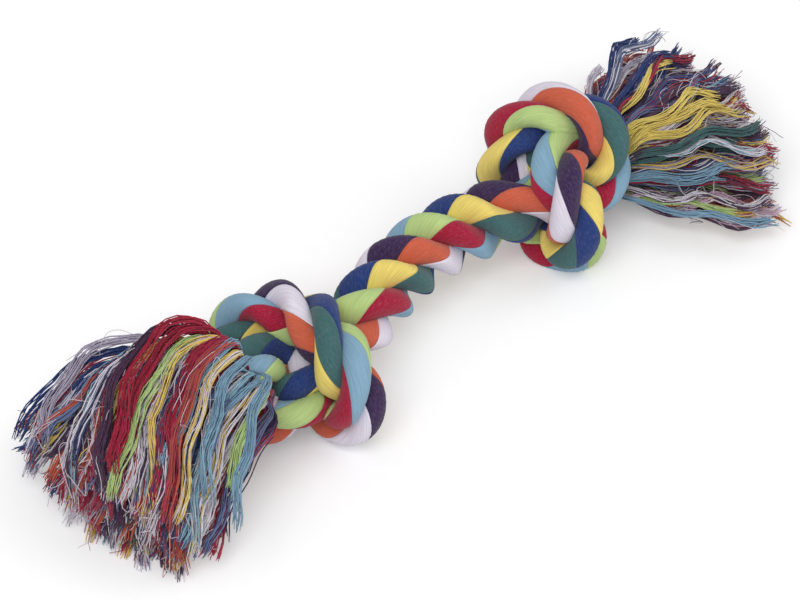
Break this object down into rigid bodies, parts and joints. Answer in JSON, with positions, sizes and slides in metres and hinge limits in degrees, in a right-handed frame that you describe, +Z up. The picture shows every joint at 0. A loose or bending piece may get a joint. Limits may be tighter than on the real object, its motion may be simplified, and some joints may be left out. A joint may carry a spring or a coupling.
{
  "type": "rope dog toy",
  "caption": "Short length of thick multicoloured twisted cotton rope, knotted near both ends and frayed into tufts, for dogs to chew, tug and fetch.",
  "frame": {"origin": "on the floor under the middle of the toy's box", "axes": "+X along the toy from the left tuft to the right tuft, +Z up from the floor the toy lies on"},
  "size_m": [0.2598, 0.089, 0.0503],
  "materials": {
    "white_cotton": "soft matt cotton yarn, lilac white",
    "purple_cotton": "soft matt cotton yarn, plum purple",
    "orange_cotton": "soft matt cotton yarn, orange",
    "sky_cotton": "soft matt cotton yarn, light blue",
    "lime_cotton": "soft matt cotton yarn, lime green",
    "red_cotton": "soft matt cotton yarn, crimson",
    "blue_cotton": "soft matt cotton yarn, navy blue",
    "yellow_cotton": "soft matt cotton yarn, yellow",
    "green_cotton": "soft matt cotton yarn, teal green"
  },
  "bodies": {
    "left_knot": {"left_knot_white": "white_cotton", "left_knot_purple": "purple_cotton", "left_knot_orange": "orange_cotton", "left_knot_sky": "sky_cotton", "left_knot_lime": "lime_cotton", "left_knot_red": "red_cotton", "left_knot_blue": "blue_cotton", "left_knot_yellow": "yellow_cotton", "left_knot_green": "green_cotton"},
    "bar": {"bar_white": "white_cotton", "bar_purple": "purple_cotton", "bar_orange": "orange_cotton", "bar_sky": "sky_cotton", "bar_lime": "lime_cotton", "bar_red": "red_cotton", "bar_blue": "blue_cotton", "bar_yellow": "yellow_cotton", "bar_green": "green_cotton"},
    "right_knot": {"right_knot_white": "white_cotton", "right_knot_purple": "purple_cotton", "right_knot_orange": "orange_cotton", "right_knot_sky": "sky_cotton", "right_knot_lime": "lime_cotton", "right_knot_red": "red_cotton", "right_knot_blue": "blue_cotton", "right_knot_yellow": "yellow_cotton", "right_knot_green": "green_cotton"},
    "left_plum_tassel": {"left_tuft_white": "white_cotton", "left_tuft_purple": "purple_cotton", "left_tuft_orange": "orange_cotton"},
    "left_lime_tassel": {"left_tuft_sky": "sky_cotton", "left_tuft_lime": "lime_cotton", "left_tuft_red": "red_cotton"},
    "left_navy_tassel": {"left_tuft_blue": "blue_cotton", "left_tuft_yellow": "yellow_cotton", "left_tuft_green": "green_cotton"},
    "right_plum_tassel": {"right_tuft_white": "white_cotton", "right_tuft_purple": "purple_cotton", "right_tuft_orange": "orange_cotton"},
    "right_lime_tassel": {"right_tuft_sky": "sky_cotton", "right_tuft_lime": "lime_cotton", "right_tuft_red": "red_cotton"},
    "right_navy_tassel": {"right_tuft_blue": "blue_cotton", "right_tuft_yellow": "yellow_cotton", "right_tuft_green": "green_cotton"}
  },
  "joints": [
    {"name": "left_bend", "type": "hinge", "parent": "left_knot", "child": "bar", "pos_m": [-0.01868, -0.0009, 0.02325], "axis": [0, 0, 1], "range_deg": [-25, 25], "deforming": ["bar_white", "bar_purple", "bar_orange", "bar_sky", "bar_lime", "bar_red", "bar_blue", "bar_yellow", "bar_green"]},
    {"name": "right_bend", "type": "hinge", "parent": "bar", "child": "right_knot", "pos_m": [0.03069, 0.0052, 0.02211], "axis": [-0.208, -0.9781, 0], "range_deg": [-15, 25], "deforming": ["bar_white", "bar_purple", "bar_orange", "bar_sky", "bar_lime", "bar_red", "bar_blue", "bar_yellow", "bar_green"]},
    {"name": "left_plum_swing", "type": "hinge", "parent": "left_knot", "child": "left_plum_tassel", "pos_m": [-0.06648, -0.00984, 0.02575], "axis": [0.3631, -0.4772, 0.8003], "range_deg": [0, 35]},
    {"name": "left_lime_swing", "type": "hinge", "parent": "left_knot", "child": "left_lime_tassel", "pos_m": [-0.06982, -0.00369, 0.03467], "axis": [-0.5318, 0.8387, 0.117], "range_deg": [0, 35]},
    {"name": "left_navy_swing", "type": "hinge", "parent": "left_knot", "child": "left_navy_tassel", "pos_m": [-0.07264, -0.00045, 0.02417], "axis": [0.169, -0.361, -0.9171], "range_deg": [0, 35]},
    {"name": "right_plum_swing", "type": "hinge", "parent": "right_knot", "child": "right_plum_tassel", "pos_m": [0.0843, 0.01313, 0.01803], "axis": [0.4599, -0.158, 0.8738], "range_deg": [0, 35]},
    {"name": "right_lime_swing", "type": "hinge", "parent": "right_knot", "child": "right_lime_tassel", "pos_m": [0.07829, 0.00669, 0.01089], "axis": [0.021, 0.9078, -0.4189], "range_deg": [0, 35]},
    {"name": "right_navy_swing", "type": "hinge", "parent": "right_knot", "child": "right_navy_tassel", "pos_m": [0.0825, 0.00219, 0.02042], "axis": [-0.4808, -0.7497, -0.4548], "range_deg": [0, 20]}
  ]
}
